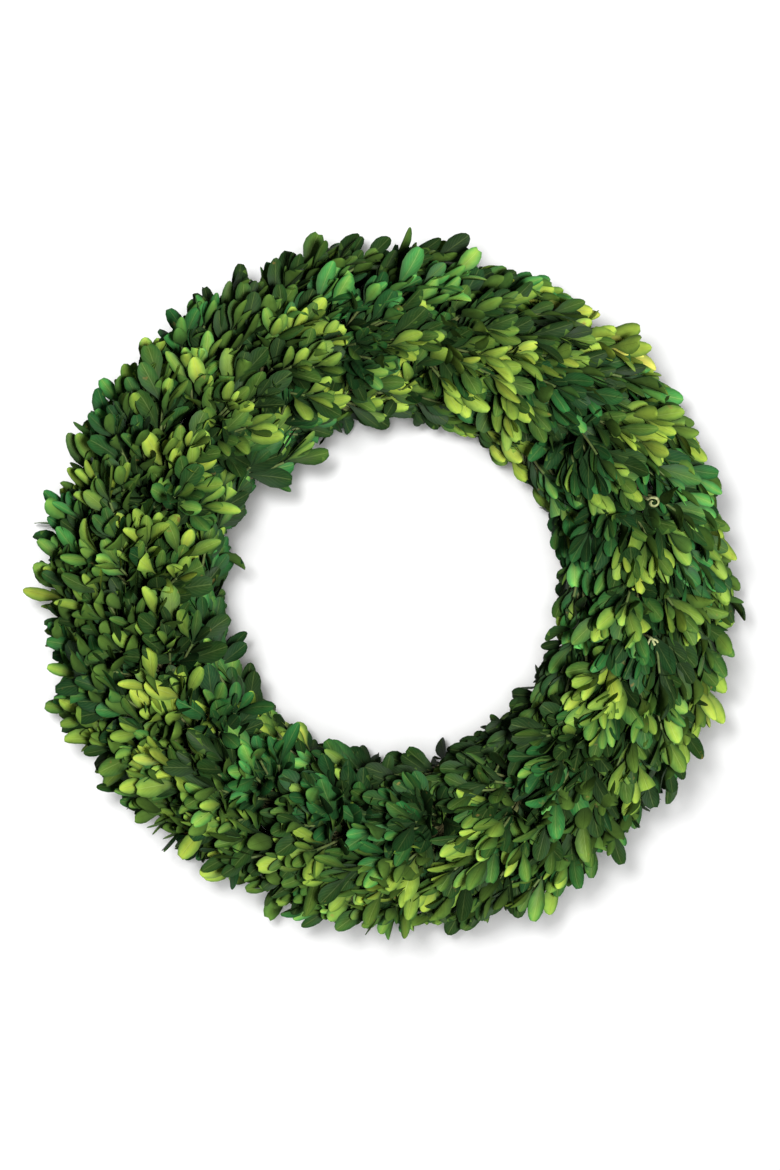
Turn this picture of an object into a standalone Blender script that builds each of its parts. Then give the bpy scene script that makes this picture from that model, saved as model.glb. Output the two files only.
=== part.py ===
"""A round boxwood wreath, 0.41 m across, that lies on its flat back with its face up.

Bunches of boxwood sprigs sit in three rows on a straw ring: along its outer side, over its crown
and down its inner side. One long wire winds round the ring and ties down every bunch by its stems.
Each bunch is one solid: the stems under the wire, a slim core that they open into, and the leaves
that stand out of it. All leaves lean the same way round the ring, clockwise seen from above.

A place in the wreath is given by three values: an angle round the wreath's axis, an angle round the
straw (0 straight outwards, 90 degrees straight up, 180 degrees towards the hole), and a distance
from the middle of the straw.
"""

import math
import random
from typing import NamedTuple

import bmesh
import bpy
from mathutils import Quaternion, Vector

# The straw ring. Its underside is pressed flat, so its middle is lower than its radius.
RING_RADIUS = 0.130
STRAW_RADIUS = 0.021
STRAW_HEIGHT = 0.0168
STRAW_SIDES = 9

# The ring is pinched to this share of its radius where the wire bites into it.
GROOVE_SHARE = 0.90
SEGMENTS_PER_STATION = 3

# The bunches: one in each row for each turn of the wire.
STATIONS = 18
STATION_ANGLE = math.tau / STATIONS

# The outline that the leaf tips reach, from the photograph: a little wider than tall, its hole low.
OUTER_RADIUS = 0.1975
OUTER_WIDENING = 0.0025
HOLE_RADIUS = 0.098
HOLE_DROP = 0.0029
FOLIAGE_TOP = 0.088
FOLIAGE_MIDDLE = 0.038
FOLIAGE_FLOOR = 0.0015

# A bunch leans over the next tie: this is how far round the ring its tips lie past its own tie.
LEAN_ANGLE = 1.0 * STATION_ANGLE

# One leaf. It is larger than a real one of 22 by 11 mm, so that few leaves cover the ring.
# Its outline gives the half width at three places from root to tip, both as shares of its size.
LEAF_LENGTH = 0.040
LEAF_WIDTH = 0.022
LEAF_THICKNESS = 0.0008
LEAF_ARCH = 0.0028
LEAF_OUTLINE = ((0.0, 0.0), (0.46, 0.5), (1.0, 0.3))

# How the leaves lie in a bunch: every second one is lifted off its layer, every second layer is
# shifted across the row, and the leaves at the row's edges fan out by the angle given.
LEAF_LIFT = 0.0046
LAYER_SHIFT = 0.08
FAN_ANGLE = math.radians(16)

# How much leaves differ: in place (as shares of the bunch), in reach, in direction and in size.
LEAF_SEED = 7
PLACE_JITTER = 0.03
REACH_RANGE = (0.92, 1.03)
FAN_JITTER = math.radians(6)
TWIST_JITTER = math.radians(4)
SIZE_RANGE = (0.94, 1.06)

# Clearances between pieces that touch on the real wreath.
CELL_MARGIN = 0.0016
WIRE_GAP = 0.0003
FOLIAGE_OVER_WIRE = 0.0018

# The wire, and how far it stands off the stems that it ties down where it bends over them.
WIRE_RADIUS = 0.00045
WIRE_TENT = 0.0026

# The stems of a bunch where the wire ties them down, thinner towards their cut ends.
STEMS_WIDTH = 0.0048
STEMS_HEIGHT = 0.0040
STEMS_GAP = 0.0003
STEMS_BEFORE_TIE = 0.008
STEMS_AFTER_TIE = 0.006
STEMS_TAPER = 0.8

# The core that the stems open into, as shares of the bunch, and where the leaves root in it.
CORE_WIDE = 0.76
CORE_LONG = 0.62
CORE_FORTH = 0.1
CORE_CREST = 1.12
ROOT_SPREAD = 0.85
ROOT_DEPTH = 0.72


class Row(NamedTuple):
    """A row of bunches.

    low, high and tie are angles round the straw in degrees: the row's edges and the wire's bend.
    core_depth is where the core ends between the straw (0) and the tips (1). layers holds the number
    of leaves across the row in each layer, from the back of the bunch to its front, spread and shift
    say how far they reach across it, and leaf_size is their share of the full size. No leaf roots
    further back in the core than root_back, and upturn is how much the faces turn to the sky. pinch
    is the share of its full radius that the straw has under the stems, which lie across a groove.
    """

    name: str
    low: float
    high: float
    tie: float
    core_depth: float
    layers: tuple
    spread: float
    shift: float
    leaf_size: float
    root_back: float
    upturn: float
    pinch: float

    @property
    def middle(self):
        return math.radians(self.low + self.high) / 2

    @property
    def half(self):
        return math.radians(self.high - self.low) / 2


ROWS = (
    Row(
        "outer", low=-16, high=38, tie=17, core_depth=0.62, layers=(2, 3, 2, 3),
        spread=0.8, shift=0.0, leaf_size=1.0, root_back=1.0, upturn=0.5, pinch=1.0,
    ),
    Row(
        "crown", low=38, high=102, tie=70, core_depth=0.58, layers=(3, 2, 3),
        spread=0.98, shift=0.06, leaf_size=1.0, root_back=1.0, upturn=0.3, pinch=0.95,
    ),
    Row(
        "inner", low=102, high=186, tie=134, core_depth=0.40, layers=(3, 3),
        spread=0.9, shift=-0.27, leaf_size=0.82, root_back=-0.3, upturn=0.3, pinch=0.99,
    ),
)

# Where the wire bends on each turn: over the three ties, then down into the groove.
WIRE_OVER_TIE = STRAW_RADIUS + STEMS_GAP + STEMS_HEIGHT + WIRE_TENT
WIRE_LOW_SIDES = (-19.2, 198.9, 235.0, 305.0)

LEAF_GREEN = (0.075, 0.155, 0.045, 1)
STRAW_TAN = (0.42, 0.31, 0.14, 1)
WIRE_GREEN = (0.03, 0.10, 0.05, 1)


def clear_scene():
    for obj in list(bpy.data.objects):
        bpy.data.objects.remove(obj, do_unlink=True)


def material(name, colour, roughness, metallic=0.0):
    made = bpy.data.materials.new(name)
    made.use_nodes = True
    made.diffuse_color = colour
    shader = made.node_tree.nodes["Principled BSDF"]
    shader.inputs["Base Color"].default_value = colour
    shader.inputs["Roughness"].default_value = roughness
    shader.inputs["Metallic"].default_value = metallic
    return made


def place(around, over, distance):
    """The point at these angles, this far from the middle of the straw."""
    radius = RING_RADIUS + distance * math.cos(over)
    height = STRAW_HEIGHT + distance * math.sin(over)
    return Vector((radius * math.cos(around), radius * math.sin(around), height))


def angles_of(point):
    """(angle round the wreath, angle round the straw, distance) of a point."""
    out = math.hypot(point.x, point.y) - RING_RADIUS
    up = point.z - STRAW_HEIGHT
    over = math.atan2(up, out)
    if over < -math.pi / 2:
        over += math.tau
    return math.atan2(point.y, point.x), over, math.hypot(out, up)


def reach(over, outer=OUTER_RADIUS, inner=HOLE_RADIUS):
    """How far from the middle of the straw the tips reach at this angle: an ellipse over the ring."""
    across = (outer - inner) / 2
    up = FOLIAGE_TOP - FOLIAGE_MIDDLE
    centre_out = (outer + inner) / 2 - RING_RADIUS
    centre_up = FOLIAGE_MIDDLE - STRAW_HEIGHT
    along_out = math.cos(over) / across
    along_up = math.sin(over) / up
    a = along_out**2 + along_up**2
    b = along_out * centre_out / across + along_up * centre_up / up
    c = (centre_out / across) ** 2 + (centre_up / up) ** 2 - 1
    return (b + math.sqrt(b * b - a * c)) / a


def reach_at(around, over):
    """The reach with the photograph's outline, which isn't quite round."""
    outer = OUTER_RADIUS + OUTER_WIDENING * math.cos(2 * around)
    inner = HOLE_RADIUS - HOLE_DROP * math.sin(around)
    return reach(over, outer, inner)


def drift(over, distance):
    """The angle round the wreath by which a bunch has leant over at this distance."""
    return LEAN_ANGLE * (distance - STRAW_RADIUS) / (reach(over) - STRAW_RADIUS)


def helix(station, over):
    """Where the wire's turn of this station lies round the wreath."""
    return station * STATION_ANGLE + over / STATIONS


def straw_section():
    """The angle of each corner of the straw's section, from one edge of its flat base to the other."""
    base_edge = math.acos(STRAW_HEIGHT / STRAW_RADIUS)
    start = base_edge - math.pi / 2
    step = (math.tau - 2 * base_edge) / (STRAW_SIDES - 1)
    return [start + step * side for side in range(STRAW_SIDES)]


def straw_distance(over):
    """How far from its middle the straw's flat facet lies at this angle, where nothing pinches it."""
    corners = straw_section()
    step = corners[1] - corners[0]
    facet_middle = corners[0] + (math.floor((over - corners[0]) / step) + 0.5) * step
    return STRAW_RADIUS * math.cos(step / 2) / math.cos(over - facet_middle)


def straw_ring():
    """The ring, pinched where the wire bites into it. Its sections follow the wire's slant."""
    mesh = bmesh.new()
    rings = []
    for segment in range(STATIONS * SEGMENTS_PER_STATION):
        share = GROOVE_SHARE if segment % SEGMENTS_PER_STATION == 0 else 1
        around = segment / SEGMENTS_PER_STATION
        section = straw_section()
        distance = STRAW_RADIUS * share
        rings.append([mesh.verts.new(place(helix(around, over), over, distance)) for over in section])
    for number, ring in enumerate(rings):
        following = rings[(number + 1) % len(rings)]
        for side in range(STRAW_SIDES - 1):
            mesh.faces.new((ring[side], following[side], following[side + 1], ring[side + 1]))
        turn_on = rings[(number + SEGMENTS_PER_STATION) % len(rings)]
        turn_after = rings[(number + SEGMENTS_PER_STATION + 1) % len(rings)]
        mesh.faces.new((ring[-1], following[-1], turn_after[0], turn_on[0]))
    bmesh.ops.recalc_face_normals(mesh, faces=mesh.faces)
    return new_object("straw_ring", mesh)


def new_object(name, mesh):
    data = bpy.data.meshes.new(name)
    mesh.to_mesh(data)
    mesh.free()
    return bpy.data.objects.new(name, data)


def wire_points():
    """(angle round the straw, distance) of the wire's bends on one turn, in order."""
    bends = [(math.radians(row.tie), WIRE_OVER_TIE) for row in ROWS]
    seat = WIRE_GAP + WIRE_RADIUS
    bends += [(math.radians(side), STRAW_RADIUS * GROOVE_SHARE + seat) for side in WIRE_LOW_SIDES]
    return sorted((over % math.tau, distance) for over, distance in bends)


def wire_distance(over):
    """How far the wire lies from the middle of the straw at this angle, on its straight run there."""
    bends = wire_points()
    over %= math.tau
    before = max((bend for bend in bends if bend[0] <= over), default=None)
    if before is None:
        before = (bends[-1][0] - math.tau, bends[-1][1])
    after = min((bend for bend in bends if bend[0] > over), default=None)
    if after is None:
        after = (bends[0][0] + math.tau, bends[0][1])
    span = after[0] - before[0]
    top = before[1] * after[1] * math.sin(span)
    return top / (before[1] * math.sin(over - before[0]) + after[1] * math.sin(after[0] - over))


def binding_wire():
    """One closed wire that winds round the straw once for each station."""
    curve = bpy.data.curves.new("binding_wire", "CURVE")
    curve.dimensions = "3D"
    curve.bevel_depth = WIRE_RADIUS
    curve.bevel_resolution = 0
    bends = []
    for station in range(STATIONS):
        bends += [place(helix(station, over), over, distance) for over, distance in wire_points()]
    spline = curve.splines.new("POLY")
    spline.points.add(len(bends) - 1)
    for point, bend in zip(spline.points, bends):
        point.co = (*bend, 1)
    spline.use_cyclic_u = True
    return bpy.data.objects.new("binding_wire", curve)


def held(value, limit, free_share=0.85):
    """The value where it is small, and bent smoothly towards the limit where it is large."""
    free = free_share * limit
    if abs(value) <= free:
        return value
    spare = limit - free
    return math.copysign(free + spare * math.tanh((abs(value) - free) / spare), value)


def hold_in_cell(point, row, station):
    """Bends a point of a bunch clear of the bunches beside it, of the wire and of the surface."""
    around, over, distance = angles_of(point)
    over = row.middle + held(over - row.middle, row.half - CELL_MARGIN / distance)
    distance = max(distance, wire_distance(over) + WIRE_RADIUS + FOLIAGE_OVER_WIRE)
    centre = helix(station, over) - drift(over, distance)
    aside = (around - centre + math.pi) % math.tau - math.pi
    along_room = STATION_ANGLE / 2 - CELL_MARGIN / (RING_RADIUS + distance * math.cos(over))
    moved = place(centre + held(aside, along_room), over, distance)
    moved.z = max(moved.z, FOLIAGE_FLOOR)
    return moved


def in_bunch(row, station, along, across, depth):
    """A place in a bunch: along the ring and across the row from -1 to 1, and from straw to tips 0 to 1."""
    over = row.middle + across * row.half
    start = helix(station, over) - along * STATION_ANGLE / 2
    distance = STRAW_RADIUS + depth * (reach_at(start, over) - STRAW_RADIUS)
    return place(start - drift(over, distance), over, distance)


def leaf_frame(row, station, along, across, depth):
    """The tip of a leaf, the way it points from its root, and the way across the row at the tip."""
    tip = in_bunch(row, station, along, across, depth)
    step = 0.3
    depth_per_metre = step / (tip - in_bunch(row, station, along, across, depth - step)).length
    root = in_bunch(row, station, along, across, depth - LEAF_LENGTH * depth_per_metre)
    lean = (tip - root).normalized()
    aside = in_bunch(row, station, along, across + PLACE_JITTER, depth) - tip
    return tip, lean, (aside - lean * aside.dot(lean)).normalized()


def leaf_layout(row):
    """Where each leaf tip is in its bunch, from -1 to 1 each way, and how far it is lifted off its layer."""
    places = []
    for layer, count in enumerate(row.layers):
        along = (2 * layer + 1 - len(row.layers)) / len(row.layers)
        shift = row.shift + (LAYER_SHIFT if layer % 2 else -LAYER_SHIFT)
        for number in range(count):
            across = (2 * number + 1 - count) / count * row.spread + shift
            places.append((along, across, LEAF_LIFT * (number % 2)))
    return places


def leaf(row, station, tip, way, face, size):
    """One blade as an open sheet of three triangles, and the corner of it that is its root."""
    aside = way.cross(face)
    mesh = bmesh.new()
    rows = []
    for share, half in LEAF_OUTLINE:
        arch = face * LEAF_ARCH * (1 - (2 * share - 1) ** 2)
        middle = tip - way * LEAF_LENGTH * size * (1 - share) + arch
        sides = (-half, half) if half else (0,)
        points = [hold_in_cell(middle + aside * LEAF_WIDTH * size * side, row, station) for side in sides]
        rows.append([mesh.verts.new(point) for point in points])
    (root,), (left, right), (far_left, far_right) = rows
    mesh.faces.new((root, right, left))
    mesh.faces.new((left, right, far_right))
    mesh.faces.new((left, far_right, far_left))
    return mesh, root


def bunch(row, station):
    """The parts of one bunch, still apart: its stems with their core, and its leaves."""
    dice = random.Random(LEAF_SEED * 1000 + station * 10 + ROWS.index(row))
    neck = stem_points(row, station)[1]
    blades = []
    for along, across, lift in leaf_layout(row):
        along += dice.uniform(-PLACE_JITTER, PLACE_JITTER)
        across += dice.uniform(-PLACE_JITTER, PLACE_JITTER)
        tip, lean, beside = leaf_frame(row, station, along, across, dice.uniform(*REACH_RANGE))
        fan = across * FAN_ANGLE + dice.uniform(-FAN_JITTER, FAN_JITTER)
        way = lean * math.cos(fan) + beside * math.sin(fan)
        face = beside.cross(lean) * (1 - row.upturn) + Vector((0, 0, row.upturn))
        face = (face - way * face.dot(way)).normalized()
        face.rotate(Quaternion(way, dice.uniform(-TWIST_JITTER, TWIST_JITTER)))
        size = row.leaf_size * dice.uniform(*SIZE_RANGE)
        mesh, root = leaf(row, station, tip + face * lift, way, face, size)
        forth = CORE_FORTH + max(along, -row.root_back) * CORE_LONG * ROOT_SPREAD
        in_core = in_bunch(row, station, forth, across * CORE_WIDE * ROOT_SPREAD, row.core_depth)
        root.co = neck.lerp(in_core, ROOT_DEPTH)
        blades.append(mesh)
    return stems_and_core(row, station), blades


def stems_and_core(row, station):
    """The stems as a bar under the wire, which opens into the slim body that the leaves stand out of."""
    tail, neck, away, aside = stem_points(row, station)
    corners = ((-1, -1), (1, -1), (1, 1), (-1, 1))
    bar = [aside * STEMS_WIDTH / 2 * side + away * STEMS_HEIGHT / 2 * up for side, up in corners]
    depth = row.core_depth
    ends = [(CORE_FORTH - CORE_LONG * up, CORE_WIDE * side) for side, up in corners]
    loops = [
        [tail + corner * STEMS_TAPER for corner in bar],
        [neck + corner for corner in bar],
        [in_bunch(row, station, along, across, depth) for along, across in ends],
    ]
    mesh = bmesh.new()
    loops = [[mesh.verts.new(point) for point in loop] for loop in loops]
    crest = mesh.verts.new(in_bunch(row, station, CORE_FORTH, 0, depth * CORE_CREST))
    for low, high in zip(loops, loops[1:]):
        for side in range(4):
            after = (side + 1) % 4
            mesh.faces.new((low[side], low[after], high[after], high[side]))
    mesh.faces.new(loops[0])
    for side in range(4):
        mesh.faces.new((loops[-1][side], loops[-1][(side + 1) % 4], crest))
    bmesh.ops.triangulate(mesh, faces=mesh.faces)
    bmesh.ops.recalc_face_normals(mesh, faces=mesh.faces)
    return mesh


def straw_under_stems(over, pinch):
    """How far out the straw reaches under the width of the stems that are tied down at this angle."""
    spread = math.atan(STEMS_WIDTH / 2 / STRAW_RADIUS)
    heights = [straw_distance(over + aside) * math.cos(aside) for aside in (-spread, 0, spread)]
    return max(heights) * pinch


def stem_points(row, station):
    """The cut end and the neck of the stems, and the ways out of and across the straw at their tie."""
    over = math.radians(row.tie)
    around = helix(station, over)
    outward = Vector((math.cos(around), math.sin(around), 0))
    forward = Vector((math.sin(around), -math.cos(around), 0))
    away = outward * math.cos(over) + Vector((0, 0, 1)) * math.sin(over)
    seat = place(around, over, straw_under_stems(over, row.pinch) + STEMS_GAP + STEMS_HEIGHT / 2)
    tail = seat - forward * STEMS_BEFORE_TIE
    return tail, seat + forward * STEMS_AFTER_TIE, away, forward.cross(away)


def fused(name, core_mesh, sheets):
    """One object: the stems and core, joined by a Boolean union with the thickened leaves."""
    repeats = bpy.data.collections.new(name + "_repeats")
    bpy.context.scene.collection.children.link(repeats)
    base = new_object(name, core_mesh)
    bpy.context.scene.collection.objects.link(base)
    for sheet in sheets:
        blade = new_object(name + "_leaf", sheet)
        solid = blade.modifiers.new("thickness", "SOLIDIFY")
        solid.thickness = LEAF_THICKNESS
        solid.offset = 0
        repeats.objects.link(blade)
    union = base.modifiers.new("union", "BOOLEAN")
    union.operation = "UNION"
    union.operand_type = "COLLECTION"
    union.collection = repeats
    union.solver = "MANIFOLD"
    graph = bpy.context.evaluated_depsgraph_get()
    base.data = bpy.data.meshes.new_from_object(base.evaluated_get(graph))
    base.modifiers.clear()
    bpy.context.scene.collection.objects.unlink(base)
    for blade in list(repeats.objects):
        bpy.data.objects.remove(blade, do_unlink=True)
    bpy.data.collections.remove(repeats)
    return base


def main():
    clear_scene()
    wreath = bpy.data.collections.new("boxwood_wreath")
    bpy.context.scene.collection.children.link(wreath)
    leaves = material("boxwood_leaves", LEAF_GREEN, 0.45)
    straw = material("straw", STRAW_TAN, 0.9)
    wire = material("green_wire", WIRE_GREEN, 0.5)
    made = [(straw_ring(), straw), (binding_wire(), wire)]
    for row in ROWS:
        for station in range(STATIONS):
            name = f"bunch_{row.name}_{station + 1:02d}"
            made.append((fused(name, *bunch(row, station)), leaves))
    for obj, coat in made:
        obj.data.materials.clear()
        obj.data.materials.append(coat)
        wreath.objects.link(obj)


main()
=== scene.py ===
# %% [markdown]
# # A boxwood wreath
# Real wreaths of this kind are tied, not glued: short sprigs of boxwood are gathered into bunches,
# and one long wire binds the bunches to a ring of straw, each bunch over the stems of the last.
# This script dresses solids that are already placed: it loads them as a fixed frame, and gives
# every piece its fine shape and its finish.

# %% Load the frame
import random
from math import cos, exp, hypot, log, pi, radians, sin, sqrt, tau

import bpy
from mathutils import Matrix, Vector


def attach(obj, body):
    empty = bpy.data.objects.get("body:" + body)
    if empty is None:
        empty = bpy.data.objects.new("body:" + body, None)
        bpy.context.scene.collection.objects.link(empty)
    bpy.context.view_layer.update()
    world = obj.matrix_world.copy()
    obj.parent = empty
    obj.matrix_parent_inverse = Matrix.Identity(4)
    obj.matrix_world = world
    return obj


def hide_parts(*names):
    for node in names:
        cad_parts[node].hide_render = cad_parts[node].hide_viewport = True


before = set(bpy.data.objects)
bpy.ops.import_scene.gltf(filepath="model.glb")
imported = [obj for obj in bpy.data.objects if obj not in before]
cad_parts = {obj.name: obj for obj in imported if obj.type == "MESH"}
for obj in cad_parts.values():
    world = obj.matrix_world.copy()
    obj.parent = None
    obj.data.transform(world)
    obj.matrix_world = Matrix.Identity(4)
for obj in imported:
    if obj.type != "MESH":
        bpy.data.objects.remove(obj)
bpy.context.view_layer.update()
print("solids loaded:", len(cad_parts))

# %% [markdown]
# ## Camera
# The photograph looks straight at the face of the wreath, so the camera hangs above it and looks
# down. A long lens far away keeps the sides from leaning outwards. The picture's height stands for
# a known length at the level where the wreath is widest, and that length and the distance give the
# lens. The wreath isn't quite in the middle of the picture, so the camera moves sideways.

# %% Camera
PICTURE_WIDTH = 780
PICTURE_HEIGHT = 1170
MM_PER_PIXEL = 0.577
MIDDLE_PIXEL = (392.5, 586.0)
WIDEST_LEVEL = 0.038
CAMERA_DISTANCE = 1.8
FILM_MM = 36.0

scene = bpy.context.scene


def linked(name, data):
    """A new object with this data, put in the scene."""
    made = bpy.data.objects.new(name, data)
    scene.collection.objects.link(made)
    return made


picture_height_m = PICTURE_HEIGHT * MM_PER_PIXEL / 1000
camera_data = bpy.data.cameras.new("camera")
camera_data.sensor_fit = "VERTICAL"
camera_data.sensor_height = FILM_MM
camera_data.sensor_width = FILM_MM
camera_data.lens = FILM_MM * CAMERA_DISTANCE / picture_height_m
camera = linked("camera", camera_data)
camera.location = (
    (PICTURE_WIDTH / 2 - MIDDLE_PIXEL[0]) * MM_PER_PIXEL / 1000,
    (MIDDLE_PIXEL[1] - PICTURE_HEIGHT / 2) * MM_PER_PIXEL / 1000,
    WIDEST_LEVEL + CAMERA_DISTANCE,
)
scene.camera = camera
print("lens in mm:", round(camera_data.lens, 1))

# %% [markdown]
# ## A place on the wreath
# Everything grows round a ring, so places are given the way a maker would: how far round the
# wreath, how far round the straw (0 outwards, 90 degrees up, 180 towards the hole), and how far
# out from the middle of the straw. One function turns these three into a point. The leaf tips reach
# an ellipse round the straw. Seen from the face, their outline is a little wider than tall, and the
# hole in it is a little low.

# %% Places
RING_RADIUS = 0.130
STRAW_RADIUS = 0.021
STRAW_HEIGHT = 0.0168
OUTER_RADIUS = 0.1975
OUTER_WIDENING = 0.0025
HOLE_RADIUS = 0.098
HOLE_DROP = 0.0029
FOLIAGE_TOP = 0.088
FOLIAGE_MIDDLE = 0.038


def place(around, over, distance):
    """The point at these two angles, this far from the middle of the straw."""
    radius = RING_RADIUS + distance * cos(over)
    height = STRAW_HEIGHT + distance * sin(over)
    return Vector((radius * cos(around), radius * sin(around), height))


def outward(around, over):
    """The way straight out of the straw at these two angles."""
    return place(around, over, 1) - place(around, over, 0)


def reach(around, over):
    """How far from the middle of the straw the leaf tips reach."""
    outer = OUTER_RADIUS + OUTER_WIDENING * cos(2 * around)
    inner = HOLE_RADIUS - HOLE_DROP * sin(around)
    across = (outer - inner) / 2
    up = FOLIAGE_TOP - FOLIAGE_MIDDLE
    centre_out = (outer + inner) / 2 - RING_RADIUS
    centre_up = FOLIAGE_MIDDLE - STRAW_HEIGHT
    along_out = cos(over) / across
    along_up = sin(over) / up
    a = along_out**2 + along_up**2
    b = along_out * centre_out / across + along_up * centre_up / up
    c = (centre_out / across) ** 2 + (centre_up / up) ** 2 - 1
    return (b + sqrt(b * b - a * c)) / a


print("reach outwards and upwards in mm:", round(1000 * reach(0, 0)), round(1000 * reach(0, pi / 2)))

# %% [markdown]
# ## One boxwood leaf
# A boxwood leaf is 15 to 30 mm long and spoon-shaped: a short stalk, a narrow foot, widest beyond
# its middle, with a round or slightly notched tip. It is leathery, its midrib is sunk and its
# margins bend under, and some are folded or clipped short by the maker's shears. Two functions give
# the form: how wide a leaf is along its length, and where a point of it lies. Each leaf is 1 unit
# long, and the sprigs give it its real length. The clipped one is last, because it is used least.

# %% Leaf forms
LEAF_KINDS = {
    "rounded": {"width": 0.42, "widest": 0.64, "cup": -0.05, "bow": -0.05},
    "notched": {"width": 0.43, "widest": 0.69, "cup": 0.03, "bow": -0.10, "notch": 0.06},
    "spoon": {"width": 0.38, "widest": 0.71, "cup": 0.07, "bow": 0.06},
    "slender": {"width": 0.29, "widest": 0.62, "cup": 0.05, "bow": -0.07},
    "oval": {"width": 0.37, "widest": 0.58, "cup": -0.04, "bow": 0.04},
    "folded": {"width": 0.34, "widest": 0.63, "cup": 0.15, "bow": -0.04, "notch": 0.02},
    "bent": {"width": 0.40, "widest": 0.66, "cup": -0.05, "bow": -0.19, "notch": 0.03},
    "clipped": {"width": 0.42, "widest": 0.66, "cup": 0.02, "bow": 0.02, "cut": 0.66},
}
STALK_HALF_WIDTH = 0.016
GROOVE_DEPTH = 0.02
NOTCH_STARTS = 0.8


def half_width(share, kind):
    """Half the leaf's width at this share of its length: an arch, slow at the foot, round at the tip."""
    bend = log(0.5) / log(kind["widest"])
    arch = sin(pi * min(1, share) ** bend)
    power = 1.35 - 0.85 * share * share * (3 - 2 * share)
    return max(STALK_HALF_WIDTH, kind["width"] / 2 * max(0, arch) ** power)


def leaf_point(share, side, kind):
    """A point of the leaf's middle surface. share runs from base to tip, side from -1 to 1."""
    share *= kind.get("cut", 1.0)
    out = half_width(share, kind)
    breadth = 2 * out / kind["width"]
    notch = kind.get("notch", 0.0) * (1 - abs(side)) * max(0, share - NOTCH_STARTS) / 0.2
    cup = kind["cup"] * (side * breadth) ** 2
    bow = kind["bow"] * (1.7 * share - 0.7) ** 2 * (1 if share > 0.4 else 0.3)
    groove = -GROOVE_DEPTH * (1 - abs(side)) * breadth
    return Vector((side * out, share - notch, cup + bow + groove))


print("kinds of leaf:", ", ".join(LEAF_KINDS))

# %% [markdown]
# ## Leaves as closed meshes
# A leaf could be a flat card with a picture on it, but cards look like paper from the side. Here
# each leaf is a thin closed lens: one grid for the upper face and one for the lower, which share
# the points of the margin. A few dozen faces are enough, because the same eight leaves are used
# thousands of times. The UV map runs across and along the leaf. The margin is marked as a sharp
# edge, so that the two faces are shaded apart.

# %% Leaf meshes
ROWS_ALONG = 9
COLUMNS = 2
LEAF_THICKNESS = 0.02


def leaf_mesh(name, kind):
    """A closed leaf: an upper and a lower grid that meet along the margin."""
    shares = [0.5 - 0.5 * cos(pi * row / ROWS_ALONG) for row in range(ROWS_ALONG + 1)]
    points, index = [], {}

    def corner(face, row, column):
        """The number of this corner's point. The two faces share the points of the margin."""
        at_end = row in (0, ROWS_ALONG)
        at_margin = at_end or column in (0, COLUMNS)
        key = (0 if at_margin else face, row, 0 if at_end else column)
        if key not in index:
            index[key] = len(points)
            side = 0 if at_end else 2 * column / COLUMNS - 1
            lift = 0 if at_margin else face * LEAF_THICKNESS / 2
            points.append(leaf_point(shares[row], side, kind) + Vector((0, 0, lift)))
        return index[key]

    faces, undersides, uvs = [], [], []
    for face in (1, -1):
        for row in range(ROWS_ALONG):
            for column in range(COLUMNS):
                corners = [(row, column), (row, column + 1), (row + 1, column + 1), (row + 1, column)]
                loop = []
                for r, c in corners if face == 1 else reversed(corners):
                    number = corner(face, r, c)
                    if number not in loop:
                        loop.append(number)
                        uvs.append((c / COLUMNS, shares[r]))
                faces.append(loop)
                undersides.append(0.0 if face == 1 else 1.0)
    mesh = bpy.data.meshes.new(name)
    mesh.from_pydata(points, [], faces)
    layer = mesh.uv_layers.new(name="UVMap")
    for loop, uv in zip(layer.data, uvs):
        loop.uv = uv
    mesh.attributes.new("underside", "FLOAT", "FACE").data.foreach_set("value", undersides)
    mesh.shade_smooth()
    rim = {number for (face, _, _), number in index.items() if face == 0}
    mesh.attributes.new("sharp_edge", "BOOLEAN", "EDGE")
    for edge in mesh.edges:
        edge.use_edge_sharp = rim.issuperset(edge.vertices)
    return mesh


leaf_shapes = bpy.data.collections.new("leaf_shapes")
for number, (kind_name, kind) in enumerate(LEAF_KINDS.items()):
    name = f"leaf_{number}_{kind_name}"
    leaf_shapes.objects.link(bpy.data.objects.new(name, leaf_mesh(name, kind)))

# %% [markdown]
# ## Small helpers for node trees
# Shapes and finishes are node trees, and written out in full those are mostly bookkeeping. A few
# helpers keep them readable: they add a node with its settings and inputs, calculate, and join
# results to a tree's outputs. An input is given a number, or the output of another node.

# %% Node helpers


def add_node(tree, kind, inputs=None, **settings):
    """A node of this kind. inputs maps a socket's name or number to a value or to another socket."""
    node = tree.nodes.new(kind)
    for name, value in settings.items():
        setattr(node, name, value)
    for key, value in (inputs or {}).items():
        socket = node.inputs[key]
        if isinstance(value, bpy.types.NodeSocket):
            tree.links.new(value, socket)
        else:
            socket.default_value = value
    return node


def result(tree, kind, inputs=None, **settings):
    """What comes first out of such a node."""
    return add_node(tree, kind, inputs, **settings).outputs[0]


def maths(tree, operation, *values):
    """The result of one Math node."""
    return result(tree, "ShaderNodeMath", dict(enumerate(values)), operation=operation)


def product(tree, first, *factors):
    """Numbers multiplied, one after another."""
    for factor in factors:
        first = maths(tree, "MULTIPLY", first, factor)
    return first


def vectors(tree, operation, *values):
    """The vector result of one Vector Math node."""
    return result(tree, "ShaderNodeVectorMath", dict(enumerate(values)), operation=operation)


def scaled(tree, vector, factor):
    """A vector times a number."""
    return result(tree, "ShaderNodeVectorMath", {0: vector, "Scale": factor}, operation="SCALE")


def remap(tree, value, low, high, new_low, new_high):
    """The value moved from one range to another, and held inside it."""
    ends = {"Value": value, "From Min": low, "From Max": high, "To Min": new_low, "To Max": new_high}
    return result(tree, "ShaderNodeMapRange", ends)


def add_socket(tree, name, kind, way="INPUT"):
    """A named socket on the outside of a tree."""
    return tree.interface.new_socket(name, in_out=way, socket_type=f"NodeSocket{kind}")


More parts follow.
